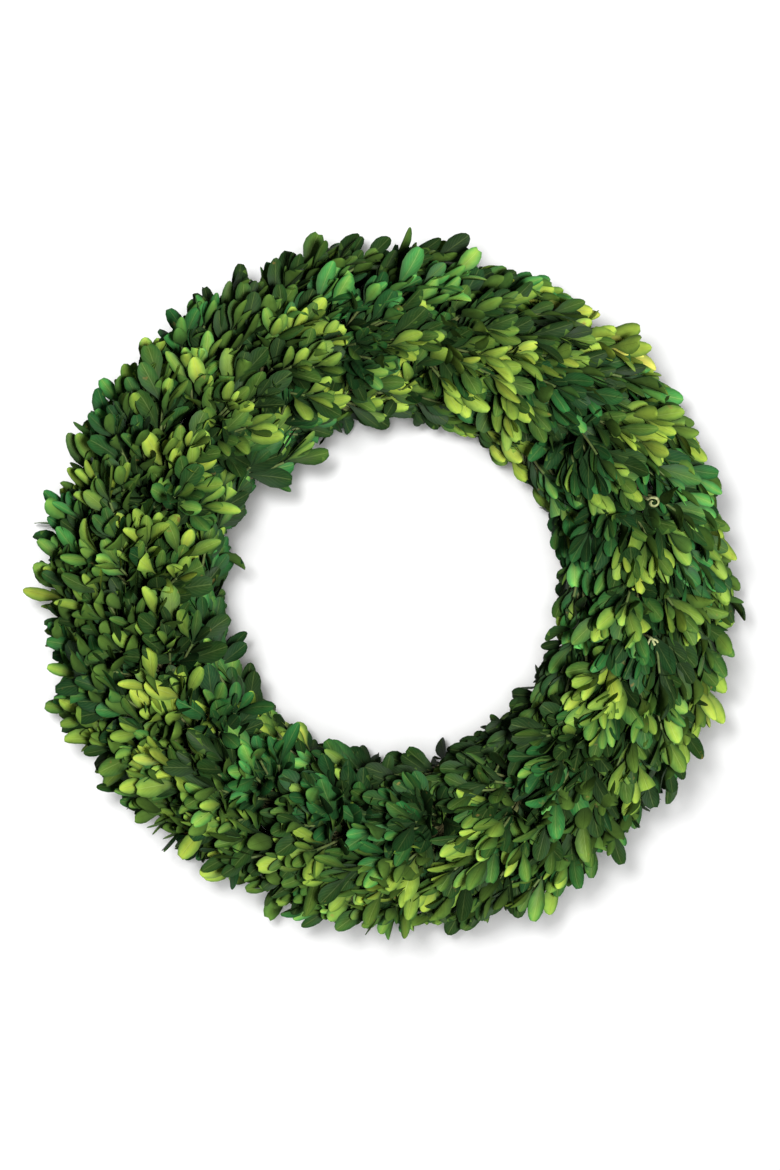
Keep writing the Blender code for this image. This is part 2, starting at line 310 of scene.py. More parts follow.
def give_out(tree, **results):
    """Joins results to the outputs of a tree."""
    end = tree.nodes.new("NodeGroupOutput")
    for name, value in results.items():
        tree.links.new(value, end.inputs[name])


print("node helpers ready")

# %% [markdown]
# Geometry Nodes trees need a little more. They take named inputs, and they store values on points
# under a name and read them back. A tree is used through a modifier. Its result is then made a
# plain mesh, and the modifier and the object that it grew from are removed.

# %% Geometry helpers


def store(tree, geometry, name, value, kind="FLOAT", domain="POINT"):
    """Stores a value under a name, for later nodes and for the materials."""
    held = {"Geometry": geometry, "Name": name, "Value": value}
    return result(tree, "GeometryNodeStoreNamedAttribute", held, data_type=kind, domain=domain)


def stored(tree, name, kind="FLOAT"):
    """Reads back a value that was stored."""
    return result(tree, "GeometryNodeInputNamedAttribute", {"Name": name}, data_type=kind)


def new_tree(name, inputs):
    """A Geometry Nodes tree: geometry goes in and out, and each input has the type of its value."""
    tree = bpy.data.node_groups.new(name, "GeometryNodeTree")
    for way in ("INPUT", "OUTPUT"):
        add_socket(tree, "Geometry", "Geometry", way)
    for label, value in inputs.items():
        add_socket(tree, label, type(value).__name__.title()).default_value = value
    return tree, tree.nodes.new("NodeGroupInput").outputs


def grown(name, source, tree, **values):
    """The object that a tree grows from a source, with these inputs set. The source is removed."""
    modifier = source.modifiers.new("grow", "NODES")
    modifier.node_group = tree
    for item in tree.interface.items_tree:
        if item.in_out == "INPUT" and item.name in values:
            modifier[item.identifier] = values[item.name]
    graph = bpy.context.evaluated_depsgraph_get()
    mesh = bpy.data.meshes.new_from_object(source.evaluated_get(graph))
    source.modifiers.remove(modifier)
    bpy.data.objects.remove(source, do_unlink=True)
    for slot in reversed(range(len(mesh.materials))):
        if mesh.materials[slot] is None:
            mesh.materials.pop(index=slot)
    return linked(name, mesh)


print("geometry helpers ready")

# %% [markdown]
# ## What the finishes share: mottling
# Leaves, twigs, straw, wire and the two pale bits all have a fine uneven tint. That effect is one
# shader group with named inputs, built once and placed in each material with its own values. It
# puts out a mask and a varied colour. The shaders stay in the materials, and one more helper joins
# the colour and a fine bump to them.

# %% Mottle group
mottle = bpy.data.node_groups.new("mottle", "ShaderNodeTree")
for label, value in (("Scale", 60.0), ("Amount", 0.3)):
    add_socket(mottle, label, "Float").default_value = value
add_socket(mottle, "Color", "Color")
add_socket(mottle, "Color", "Color", "OUTPUT")
add_socket(mottle, "Mask", "Float", "OUTPUT")
given = mottle.nodes.new("NodeGroupInput").outputs
place_of = mottle.nodes.new("ShaderNodeTexCoord").outputs["Object"]
cloud = result(mottle, "ShaderNodeTexNoise", {"Vector": place_of, "Scale": given["Scale"], "Detail": 4.0})
mask = remap(mottle, cloud, 0.3, 0.7, 0.0, 1.0)
swing = maths(mottle, "MULTIPLY_ADD", maths(mottle, "SUBTRACT", mask, 0.5), given["Amount"], 1.0)
give_out(mottle, Color=scaled(mottle, given["Color"], swing), Mask=mask)
print("mottle group:", len(mottle.nodes), "nodes")

# %% Material helpers


def new_material(name, roughness, **fixed):
    """A material whose shader has these values set on its own sockets."""
    made = bpy.data.materials.new(name)
    made.use_nodes = True
    shader = made.node_tree.nodes["Principled BSDF"]
    shader.inputs["Roughness"].default_value = roughness
    for label, value in fixed.items():
        shader.inputs[label.replace("_", " ")].default_value = value
    return made, made.node_tree, shader


def with_mottle(tree, colour, scale, amount):
    """The mottle group placed in a material."""
    values = {"Color": colour, "Scale": scale, "Amount": amount}
    return add_node(tree, "ShaderNodeGroup", values, node_tree=mottle).outputs


def coated(tree, shader, tinted, height, strength, distance):
    """Gives a shader its mottled colour, and a bump of this height."""
    tree.links.new(tinted["Color"], shader.inputs["Base Color"])
    bump = result(tree, "ShaderNodeBump", {"Height": height, "Strength": strength, "Distance": distance})
    tree.links.new(bump, shader.inputs["Normal"])


def mixed(tree, factor, first, second):
    """Two colours mixed."""
    return add_node(tree, "ShaderNodeMix", {0: factor, 6: first, 7: second}, data_type="RGBA").outputs[2]


def attribute(tree, name):
    """A number that the mesh carries under this name."""
    return add_node(tree, "ShaderNodeAttribute", attribute_name=name).outputs["Fac"]


def colour_ramp(tree, value, stops):
    """The colour at this value of a ramp."""
    node = add_node(tree, "ShaderNodeValToRGB", {"Fac": value})
    while len(node.color_ramp.elements) < len(stops):
        node.color_ramp.elements.new(0.5)
    for element, (position, colour) in zip(node.color_ramp.elements, stops):
        element.position = position
        element.color = (*colour, 1)
    return node.outputs["Color"]


print("material helpers ready")

# %% [markdown]
# ## Leaf finish
# No two leaves are the same green. Old ones are dark, young ones yellow-green, and some have an
# emerald cast from the glycerine that keeps such leaves soft. Each leaf carries two numbers as
# attributes: its tone, from how young it is and, as painted shade, how deep it sits, and how strong
# its cast. Two colour ramps turn them into its green. The leaf's own UV map then draws what follows
# the leaf. It is yellower along its middle, and more emerald towards its rim, with a thin light line
# at the very edge. It is also lighter along its middle and darker towards its rim: painted light and
# painted shade, as if its neighbours shaded its edges. A pale midrib and side veins show best on
# young leaves. The foot is darker: painted shade, where it sits deep in the bunch. The lower face
# is paler and more matt.

# %% Leaf material
LEAF_GREENS = (
    (0.08, (0.009, 0.024, 0.005)),
    (0.30, (0.014, 0.038, 0.006)),
    (0.46, (0.051, 0.105, 0.015)),
    (0.62, (0.180, 0.278, 0.035)),
    (0.78, (0.264, 0.356, 0.039)),
    (0.93, (0.300, 0.358, 0.041)),
    (1.00, (0.500, 0.472, 0.085)),
)
EMERALD_GREENS = (
    (0.10, (0.006, 0.033, 0.009)),
    (0.50, (0.018, 0.122, 0.028)),
    (0.90, (0.074, 0.304, 0.058)),
)
UNDERSIDE_GREEN = (0.118, 0.215, 0.032, 1)
MIDRIB_GREEN = (0.300, 0.400, 0.110, 1)
DRY_BROWN = (0.210, 0.130, 0.035, 1)
# The colour of the painted shade at a leaf's foot.
FOOT_SHADE_GREEN = (0.009, 0.019, 0.007, 1)
VEINS_ALONG = 52.0
VEIN_SLANT = 40.0

leaf_material, tree, shader = new_material("boxwood_leaf", 0.5, Specular_IOR_Level=0.15, IOR=1.3)
tone = attribute(tree, "tone")
map_of = result(tree, "ShaderNodeUVMap", uv_map="UVMap")
split = add_node(tree, "ShaderNodeSeparateXYZ", {0: map_of}).outputs
from_rib = maths(tree, "ABSOLUTE", maths(tree, "SUBTRACT", split["X"], 0.5))
rim_cast = remap(tree, from_rib, 0.10, 0.48, -0.10, 0.38)
cast_here = maths(tree, "ADD", attribute(tree, "cast"), rim_cast)
emerald = colour_ramp(tree, tone, EMERALD_GREENS)
green = mixed(tree, cast_here, colour_ramp(tree, tone, LEAF_GREENS), emerald)
rib = remap(tree, from_rib, 0.010, 0.040, 1.0, 0.0)
along_leaf = product(tree, split["Y"], VEINS_ALONG)
vein_phase = maths(tree, "MULTIPLY_ADD", from_rib, -VEIN_SLANT, along_leaf)
veins = remap(tree, maths(tree, "SINE", vein_phase), 0.45, 1.0, 0.0, 1.0)
margin = remap(tree, from_rib, 0.455, 0.495, 0.0, 1.0)
inner_lines = maths(tree, "MAXIMUM", product(tree, veins, 0.10), product(tree, rib, 0.36))
lines = maths(tree, "MAXIMUM", inner_lines, product(tree, margin, 0.20))
drawn = product(tree, lines, remap(tree, tone, 0.25, 0.85, 0.35, 1.0))
upper = mixed(tree, drawn, green, MIDRIB_GREEN)
lower = mixed(tree, 0.4, green, UNDERSIDE_GREEN)
underside = attribute(tree, "underside")
print("leaf greens and veins:", len(tree.nodes), "nodes")

# %% Leaf material: dry spots, rim, foot and surface
place_of = tree.nodes.new("ShaderNodeTexCoord").outputs["Object"]
spots = result(tree, "ShaderNodeTexNoise", {"Vector": place_of, "Scale": 150.0, "Detail": 3.0})
dry_here = remap(tree, spots, 0.70, 0.76, 0.0, 0.7)
dry = product(tree, dry_here, remap(tree, split["Y"], 0.3, 0.9, 0.2, 1.0))
colour = mixed(tree, dry, mixed(tree, underside, upper, lower), DRY_BROWN)
# Lighter in the middle and darker towards the rim: painted light and painted shade.
colour = scaled(tree, colour, remap(tree, from_rib, 0.26, 0.50, 1.10, 0.60))
# Darker towards the foot: painted shade, where the foot sits deep in the bunch.
colour = mixed(tree, remap(tree, split["Y"], 0.12, 0.94, 0.90, 0.0), colour, FOOT_SHADE_GREEN)
tinted = with_mottle(tree, colour, 160.0, 0.30)
face_rough = maths(tree, "MULTIPLY_ADD", underside, 0.2, 0.44)
rough = maths(tree, "MULTIPLY_ADD", tinted["Mask"], 0.14, face_rough)
tree.links.new(rough, shader.inputs["Roughness"])
height = maths(tree, "SUBTRACT", product(tree, veins, 0.25), rib)
coated(tree, shader, tinted, height, 0.35, 0.0004)
print("leaf material:", len(tree.nodes), "nodes")

# %% [markdown]
# ## Twig finish
# Young boxwood twigs are green with ridges, and the older wood below is tan and grey. Each twig
# carries how far along it a point is, and the colour runs from wood at the cut end to green at the
# tip. The mottle's mask also raises a fine grain.

# %% Twig material
twig_material, tree, shader = new_material("boxwood_twig", 0.7, Specular_IOR_Level=0.3)
growth = attribute(tree, "growth")
wood = mixed(tree, growth, (0.085, 0.058, 0.030, 1), (0.070, 0.105, 0.026, 1))
tinted = with_mottle(tree, wood, 420.0, 0.7)
coated(tree, shader, tinted, tinted["Mask"], 0.5, 0.0003)
print("twig material:", len(tree.nodes), "nodes")

# %% [markdown]
# ## Where a sprig goes
# Every bunch is tied down in one spot and fans out from there, leaning clockwise over the next
# bunch. A sprig is a path from its cut end, under the wire, to its tip. The path rises first and
# then bends over clockwise. At the upper right it bends most, and its leaves stream like feathers;
# at the lower left it stands up more, and its leaves open in rosettes. The bunches are tied on in
# three rows, and each row has its own angles over the straw, its depth and its heads of twigs.

# %% Sprig paths
STATIONS = 18
STATION_ANGLE = tau / STATIONS
LEAN_ANGLE = STATION_ANGLE
PATH_POINTS = 9
STREAM_MIDDLE = radians(35)
SEAT_LIFT = 0.0012
SEAT_SPREAD = 0.0022
ROWS = {
    "outer": {
        "low": -16, "high": 38, "tie": 17, "depth": 0.75,
        "heads": ((-0.62, -0.45), (-0.25, 0.60), (0.20, -0.10), (0.65, 0.35)), "fill": 9,
    },
    "crown": {
        "low": 38, "high": 102, "tie": 70, "depth": 0.765,
        "heads": ((-0.60, 0.75), (-0.45, -0.40), (0.10, 0.30), (0.60, -0.60)), "fill": 9,
    },
    "inner": {
        "low": 102, "high": 186, "tie": 134, "depth": 0.55,
        "heads": ((-0.55, -0.80), (0.50, -0.55), (-0.10, 0.00), (0.55, 0.60)), "fill": 6,
    },
}


def in_bunch(row, station, along, across, depth, lean):
    """A place in a bunch: -1 to 1 along the ring and across the row, and 0 to 1 from straw to tips."""
    low, high = radians(row["low"]), radians(row["high"])
    over = (low + high) / 2 + across * (high - low) / 2
    start = station * STATION_ANGLE + over / STATIONS - along * STATION_ANGLE / 2
    distance = STRAW_RADIUS + depth * (reach(start, over) - STRAW_RADIUS)
    return place(start - LEAN_ANGLE * lean, over, distance)


def streaming(station):
    """1 where the foliage streams most, at the upper right, and 0 opposite, where it stands up."""
    return 0.5 + 0.5 * cos(station * STATION_ANGLE - STREAM_MIDDLE)


def sprig_path(row, station, along, across, depth, dice):
    """The points of one sprig, from its cut end to its tip."""
    over = radians(row["tie"])
    tie = station * STATION_ANGLE + over / STATIONS
    aside = across * 0.09 + dice.uniform(-0.03, 0.03)
    above = STRAW_RADIUS + SEAT_LIFT + SEAT_SPREAD * dice.random()
    seat = place(tie, over + aside, above)
    cut = place(tie + 0.075 + 0.04 * dice.random(), over + 2 * aside, above + 0.001)
    stream = streaming(station)
    rise, lean = 0.50 + 0.16 * stream, 0.34 - 0.14 * stream
    middle = in_bunch(row, station, 0.45 * along + 0.2, 0.6 * across, rise * depth, lean * depth)
    tip = in_bunch(row, station, along, across, depth, depth)
    points = [cut]
    for step in range(PATH_POINTS):
        share = step / (PATH_POINTS - 1)
        points.append(seat * (1 - share) ** 2 + middle * 2 * share * (1 - share) + tip * share**2)
    return points


print("top of the crown in mm:", round(1000 * in_bunch(ROWS["crown"], 0, 0, 0, 1, 1).z))

# %% [markdown]
# ## The sprigs of a bunch
# Twigs branch, so the tips come in heads of three close together, with a darker gap between one
# head and the next. A few short sprigs stop lower down and fill the bunch, so that no light comes
# through it. Each path also carries two random numbers, how young its leaves are and how emerald,
# because the leaves of one twig are alike. The short filling sprigs are given a youth below that of
# any head, so that their leaves are darker: painted shade, where they sit deep in the bunch. Some
# twigs that catch the eye in the photograph are noted by where they are, as an angle round the
# wreath and millimetres from its middle, and a head within reach of such a place takes its look. A
# few longer sprigs stray out of the outline.

# %% Noted twigs
NOTED_REACH = 0.015
# The youth and the cast of each look.
NOTED_LOOKS = {
    "young": (0.78, 0.2), "fresh": (0.62, 0.62), "yellow": (1.36, 0.0),
    "emerald": (0.52, 1.0), "old": (0.0, 0.3),
}
NOTED_PLACES = {
    "young": (
        (104, 114), (140, 130), (174, 138), (70, 135), (53, 160), (54, 111), (36, 166), (209, 141),
        (148, 141), (357, 182), (341, 188), (271, 160), (254, 162),
    ),
    "fresh": (
        (324, 140), (332, 166), (354, 131), (208, 169), (236, 157), (294, 163), (288, 150), (303, 190),
        (113, 157), (133, 163), (142, 164), (156, 127), (165, 186), (174, 160),
    ),
    "yellow": ((58, 189), (50, 190)),
    "emerald": ((95, 151), (101, 162), (131, 177), (3, 157)),
    "old": (
        (107, 186), (121, 180), (61, 159), (284, 187), (304, 166), (317, 158), (317, 119), (300, 104),
        (283, 103), (269, 111),
    ),
}


def noted(point, youth, cast):
    """The youth and cast of a head at this point, or those of the noted twig that is close to it."""
    for look, places in NOTED_PLACES.items():
        for degrees, millimetres in places:
            out, turn = millimetres / 1000, radians(degrees)
            if hypot(point.x - out * cos(turn), point.y - out * sin(turn)) < NOTED_REACH:
                return NOTED_LOOKS[look]
    return youth, cast


print("noted places:", sum(len(places) for places in NOTED_PLACES.values()))

# %% All sprigs of a bunch
TWIGS_IN_HEAD = 3
HEAD_SCATTER = 0.16
FILL_SPREAD = 0.9
# Each stray's place in its bunch: along the ring, across the row, and its depth.
STRAYS = {
    "inner 7": ((-0.55, 0.10, 1.12), (-0.80, 0.50, 1.16)),
    "outer 11": ((0.00, -0.05, 0.95),),
}


def bunch_paths(name, station):
    """All the sprigs of one bunch: each a path with its youth and its cast."""
    row = ROWS[name]
    dice = random.Random(f"{name} {station}")
    sprigs = []
    for head_along, head_across in row["heads"]:
        head_along += dice.uniform(-HEAD_SCATTER, HEAD_SCATTER)
        head_across += dice.uniform(-HEAD_SCATTER, HEAD_SCATTER)
        head_depth = row["depth"] + dice.uniform(-0.09, 0.09)
        tip = in_bunch(row, station, head_along, head_across, head_depth, head_depth)
        youth, cast = noted(tip, dice.random() ** 1.85, dice.random())
        start = dice.uniform(0, tau)
        for twig in range(TWIGS_IN_HEAD):
            turn = start + twig * tau / TWIGS_IN_HEAD
            aside = dice.uniform(0.20, 0.34)
            along = head_along + aside * cos(turn)
            across = head_across + aside * sin(turn)
            depth = head_depth + dice.uniform(-0.10, 0.06)
            path = sprig_path(row, station, along, across, depth, dice)
            sprigs.append((path, 0.75 * youth + 0.25 * dice.random(), cast))
    # The filling sprigs get a youth below that of any head, which darkens their leaves: painted shade,
    # where they sit deep in the bunch.
    for _ in range(row["fill"]):
        along, across = [dice.uniform(-FILL_SPREAD, FILL_SPREAD) for _ in range(2)]
        path = sprig_path(row, station, along, across, row["depth"] * dice.uniform(0.60, 0.78), dice)
        sprigs.append((path, dice.uniform(-0.32, 0.10), dice.random()))
    for along, across, depth in STRAYS.get(f"{name} {station}", ()):
        sprigs.append((sprig_path(row, station, along, across, depth, dice), 0.35, 0.5))
    return sprigs


def path_object(name, paths, closed=False, **carried):
    """Paths as edges of a mesh. Each point carries a number or a way under every name given."""
    points, edges = [], []
    for path in paths:
        edges += [(i, i + 1) for i in range(len(points), len(points) + len(path) - 1)]
        points += path
    if closed:
        edges.append((len(points) - 1, 0))
    mesh = bpy.data.meshes.new(name)
    mesh.from_pydata(points, edges, [])
    for label, values in carried.items():
        if isinstance(values[0], Vector):
            ways = mesh.attributes.new(label, "FLOAT_VECTOR", "POINT").data
            ways.foreach_set("vector", [number for way in values for number in way])
        else:
            mesh.attributes.new(label, "FLOAT", "POINT").data.foreach_set("value", values)
    return linked(name, mesh)


def sprigs_object(sprigs):
    """The sprigs as paths. A point carries how far along its sprig it is, and its youth and cast."""
    return path_object(
        "paths", [path for path, _, _ in sprigs],
        growth=[i / (len(path) - 1) for path, _, _ in sprigs for i in range(len(path))],
        youth=[youth for path, youth, _ in sprigs for _ in path],
        sprig_cast=[cast for path, _, cast in sprigs for _ in path],
    )


print("sprigs in an outer bunch:", len(bunch_paths("outer", 0)))

# %% [markdown]
# ## Leaves on a sprig
# Boxwood leaves stand in pairs, and each pair is turned a quarter round the twig from the one
# before. That is a rule along a path, so Geometry Nodes grow it: the paths become curves, and points
# are set along them at the leaf spacing. Every point is doubled. Its two copies face opposite ways,
# and the pair is turned by its number times a quarter turn, with some scatter. The tip of a twig
# carries two pairs. A leaf leans out from the twig, less so near the tip. Then it is combed: part
# of its way out of the surface is taken off, so that it lies more along the wreath, and its upper
# face turns outwards.

# %% Sprig tree: points along the twigs
# How far along a sprig, from 0 to 1, its tip starts.
TIP_STARTS = 0.985
sprig_inputs = {
    "Leaf Spacing": 0.0085,
    "Leaf Length": 0.0275,
    "Splay": 0.65,
    "Combed": 0.20,
    "Face Outwards": 0.60,
    "Twig Radius": 0.0008,
    "Ring Radius": RING_RADIUS,
    "Ring Height": STRAW_HEIGHT,
    "Seed": 1,
    "Leaves": leaf_shapes,
    "Leaf Material": leaf_material,
    "Twig Material": twig_material,
}
sprig_tree, given = new_tree("boxwood_sprigs", sprig_inputs)
tree = sprig_tree


def scattered(low, high, number):
    """A random number for each leaf. The seed input and this number keep the draws apart."""
    seed = maths(tree, "MULTIPLY_ADD", given["Seed"], 8.0, float(number))
    ends = {2: low, 3: high, "Seed": seed}
    return add_node(tree, "FunctionNodeRandomValue", ends, data_type="FLOAT").outputs[1]


curves = result(tree, "GeometryNodeMeshToCurve", {0: given["Geometry"]})
spacing = {"Curve": curves, "Length": given["Leaf Spacing"]}
spaced = result(tree, "GeometryNodeResampleCurve", spacing, mode="LENGTH")
points = add_node(tree, "GeometryNodeCurveToPoints", {"Curve": spaced}, mode="EVALUATED").outputs
way_kept = store(tree, points["Points"], "twig_way", points["Tangent"], "FLOAT_VECTOR")
side_kept = store(tree, way_kept, "twig_side", points["Normal"], "FLOAT_VECTOR")
number = result(tree, "GeometryNodeInputIndex")
pair_turn = product(tree, number, pi / 2)
turn_kept = store(tree, side_kept, "pair_turn", pair_turn)
growth = stored(tree, "growth")
at_tip = maths(tree, "GREATER_THAN", growth, TIP_STARTS)
copies = maths(tree, "MULTIPLY_ADD", at_tip, 2.0, 2.0)
copied = {"Geometry": turn_kept, "Amount": copies}
doubled = add_node(tree, "GeometryNodeDuplicateElements", copied, domain="POINT").outputs
copy_number = doubled["Duplicate Index"]
print("points along the twigs:", len(tree.nodes), "nodes")

# %% Sprig tree: which way each leaf points and faces
way = stored(tree, "twig_way", "FLOAT_VECTOR")
second_pair = maths(tree, "GREATER_THAN", copy_number, 1.5)
quarter = product(tree, second_pair, pi / 2)
half_turn = maths(tree, "MULTIPLY_ADD", copy_number, pi, quarter)
scatter = scattered(-0.45, 0.45, 0)
angle = maths(tree, "ADD", maths(tree, "ADD", stored(tree, "pair_turn"), half_turn), scatter)
turning = {"Vector": stored(tree, "twig_side", "FLOAT_VECTOR"), "Axis": way, "Angle": angle}
turned = result(tree, "ShaderNodeVectorRotate", turning, rotation_type="AXIS_ANGLE")
lean_share = product(tree, remap(tree, growth, 0.4, 1.0, 1.2, 0.7), scattered(0.7, 1.3, 1))
tip_share = maths(tree, "MULTIPLY_ADD", second_pair, -0.45, 1.0)
lean = product(tree, given["Splay"], lean_share, tip_share)
along = scaled(tree, way, maths(tree, "COSINE", lean))
free_way = vectors(tree, "ADD", along, scaled(tree, turned, maths(tree, "SINE", lean)))
aside = scaled(tree, turned, maths(tree, "COSINE", lean))
own_face = vectors(tree, "SUBTRACT", scaled(tree, way, maths(tree, "SINE", lean)), aside)
here = result(tree, "GeometryNodeInputPosition")
level_way = vectors(tree, "NORMALIZE", vectors(tree, "MULTIPLY", here, (1.0, 1.0, 0.0)))
straw_level = result(tree, "ShaderNodeCombineXYZ", {"Z": given["Ring Height"]})
straw_middle = vectors(tree, "ADD", scaled(tree, level_way, given["Ring Radius"]), straw_level)
outwards = vectors(tree, "NORMALIZE", vectors(tree, "SUBTRACT", here, straw_middle))
rising = add_node(tree, "ShaderNodeVectorMath", {0: free_way, 1: outwards}, operation="DOT_PRODUCT")
combed_off = product(tree, rising.outputs["Value"], given["Combed"])
leaf_way = vectors(tree, "SUBTRACT", free_way, scaled(tree, outwards, combed_off))
leaf_way = vectors(tree, "NORMALIZE", leaf_way)
face = vectors(
    tree, "ADD",
    scaled(tree, outwards, given["Face Outwards"]),
    scaled(tree, own_face, maths(tree, "SUBTRACT", 1.0, given["Face Outwards"])),
)
axes = {"Primary Axis": leaf_way, "Secondary Axis": face}
rotation = result(tree, "FunctionNodeAxesToRotation", axes, primary_axis="Y", secondary_axis="Z")
print("ways of the leaves:", len(tree.nodes), "nodes")

# %% Sprig tree: the leaves
LEAVES_START = 0.42
CLIPPED_WEIGHT = 0.4
leafy = maths(tree, "GREATER_THAN", growth, LEAVES_START)
smaller = maths(tree, "MULTIPLY_ADD", second_pair, -0.22, 1.0)
nearer_tip = remap(tree, growth, 0.6, 1.0, 1.05, 0.92)
size = product(tree, given["Leaf Length"], scattered(0.70, 1.16, 2), nearer_tip, smaller)
picked = {"Collection": given["Leaves"], "Separate Children": True}
shapes = result(tree, "GeometryNodeCollectionInfo", picked)
kind_number = maths(tree, "FLOOR", scattered(0.0, len(LEAF_KINDS) - 1 + CLIPPED_WEIGHT, 3))
set_out = {
    "Points": doubled["Geometry"], "Selection": leafy, "Instance": shapes,
    "Pick Instance": True, "Instance Index": kind_number, "Rotation": rotation, "Scale": size,
}
leaves = result(tree, "GeometryNodeInstanceOnPoints", set_out)
# Leaves low on a sprig are older and sit deep in the wreath, so their tone is lowered: partly for age,
# partly as painted shade.
aged_and_shaded = remap(tree, growth, LEAVES_START, 0.95, 0.36, 0.0)
own_share = maths(tree, "SUBTRACT", scattered(-0.07, 0.45, 4), aged_and_shaded)
tone = maths(tree, "MULTIPLY_ADD", stored(tree, "youth"), 0.65, own_share)
toned = store(tree, leaves, "tone", tone, domain="INSTANCE")
cast = maths(tree, "MULTIPLY_ADD", stored(tree, "sprig_cast"), 0.75, scattered(0.0, 0.25, 5))
cast_shown = remap(tree, cast, 0.46, 0.88, 0.0, 1.0)
cast_toned = store(tree, toned, "cast", cast_shown, domain="INSTANCE")
print("leaves:", len(tree.nodes), "nodes")

# %% [markdown]
# The twigs themselves are tubes along the same paths, thicker at the cut end. Twigs and leaves are
# joined, and what would reach below the table is pressed flat on it: the lower a point is, the more
# its height shrinks, so that nothing is cut off and nothing sinks in.

# %% Sprig tree: the twigs and the table
TWIG_SIDES = 5
PRESSED_BELOW = 0.007
circle = {"Resolution": TWIG_SIDES, "Radius": given["Twig Radius"]}
profile = result(tree, "GeometryNodeCurvePrimitiveCircle", circle)
taper = remap(tree, growth, 0.0, 1.0, 1.3, 0.5)
tapered = result(tree, "GeometryNodeSetCurveRadius", {"Curve": curves, "Radius": taper})
swept = {"Curve": tapered, "Profile Curve": profile, "Fill Caps": True}
twigs = result(tree, "GeometryNodeCurveToMesh", swept)
twigs = store(tree, twigs, "is_twig", True, "BOOLEAN", "FACE")
joined = tree.nodes.new("GeometryNodeJoinGeometry")
tree.links.new(twigs, joined.inputs[0])
tree.links.new(cast_toned, joined.inputs[0])
solid = result(tree, "GeometryNodeRealizeInstances", {"Geometry": joined.outputs[0]})
level = add_node(tree, "ShaderNodeSeparateXYZ", {0: here}).outputs
below = maths(tree, "DIVIDE", maths(tree, "SUBTRACT", level["Z"], PRESSED_BELOW), PRESSED_BELOW)
pressed = product(tree, maths(tree, "EXPONENT", below), PRESSED_BELOW)
low_enough = maths(tree, "LESS_THAN", level["Z"], PRESSED_BELOW)
on_table = result(tree, "ShaderNodeCombineXYZ", {"X": level["X"], "Y": level["Y"], "Z": pressed})
moved = {"Geometry": solid, "Selection": low_enough, "Position": on_table}
rested = result(tree, "GeometryNodeSetPosition", moved)
of_leaves = {"Geometry": rested, "Material": given["Leaf Material"]}
leafed = result(tree, "GeometryNodeSetMaterial", of_leaves)
is_twig = stored(tree, "is_twig", "BOOLEAN")
of_twigs = {"Geometry": leafed, "Selection": is_twig, "Material": given["Twig Material"]}
give_out(tree, Geometry=result(tree, "GeometryNodeSetMaterial", of_twigs))
print("sprig tree:", len(tree.nodes), "nodes")

# %% [markdown]
# ## The bunches
# Each bunch of the frame gets a finer one, grown on its own paths with its own seed. The leaves
# splay less from their twigs where the foliage streams, and more in the rosettes. The inner row has
# shorter leaves, combed along the straw, so that the hole stays open. The bunches with a sprig that
# strays have longer leaves.

# %% Bunches
ROSETTE_SPLAY = 0.72
STREAM_SPLAY = 0.46
INNER_LEAF_LENGTH = 0.0222
INNER_COMBED = 0.70
STRAY_LEAF_LENGTH = 0.0285

faces_in_all = 0
for row_number, row_name in enumerate(ROWS):
    for station in range(STATIONS):
        label = f"{row_name}_{station + 1:02d}"
        node = f"bunch_{label}"
        splay = ROSETTE_SPLAY + (STREAM_SPLAY - ROSETTE_SPLAY) * streaming(station)
        settings = {"Splay": splay, "Seed": 100 * row_number + station}
        if row_name == "inner":
            settings["Leaf Length"] = INNER_LEAF_LENGTH
            settings["Combed"] = INNER_COMBED
        if f"{row_name} {station}" in STRAYS:
            settings["Leaf Length"] = STRAY_LEAF_LENGTH
        source = sprigs_object(bunch_paths(row_name, station))
        piece = grown(f"sprigs_{label}", source, sprig_tree, **settings)
        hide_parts(node)
        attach(piece, "root")
        faces_in_all += len(piece.data.polygons)
print("bunches:", len(ROWS) * STATIONS, "faces:", faces_in_all)

# %% [markdown]
# ## Straw ring
# The base is long straw, packed into a ring and held by thread. It shows only through gaps and from
# behind, where the ring lies flat. A plain ring with a straw pattern would look like cord, so the
# ring is a packed core, and stalks lie on it. Each stalk is a flattened tube that follows the ring
# for a while, drifting a little round it. Geometry Nodes sweep the flat section along the stalks,
# and each stalk carries a random number, from which the material takes its own shade of straw.

# %% Straw material
STRAW_SHADES = (
    (0.00, (0.110, 0.062, 0.022)),
    (0.35, (0.260, 0.165, 0.060)),
    (0.70, (0.430, 0.300, 0.120)),
    (1.00, (0.580, 0.440, 0.200)),
)
straw_material, tree, shader = new_material("dry_straw", 0.62, Specular_IOR_Level=0.35)
own_shade = colour_ramp(tree, attribute(tree, "shade"), STRAW_SHADES)
tinted = with_mottle(tree, own_shade, 240.0, 0.45)
map_of = result(tree, "ShaderNodeUVMap", uv_map="UVMap")
fibres = result(tree, "ShaderNodeTexNoise", {"Vector": map_of, "Scale": 14.0, "Detail": 2.0})
coated(tree, shader, tinted, fibres, 0.4, 0.0004)
print("straw material:", len(tree.nodes), "nodes")

# %% Tree that sweeps a section
SECTION_SIDES = 6
UV_A_METRE = 12.0

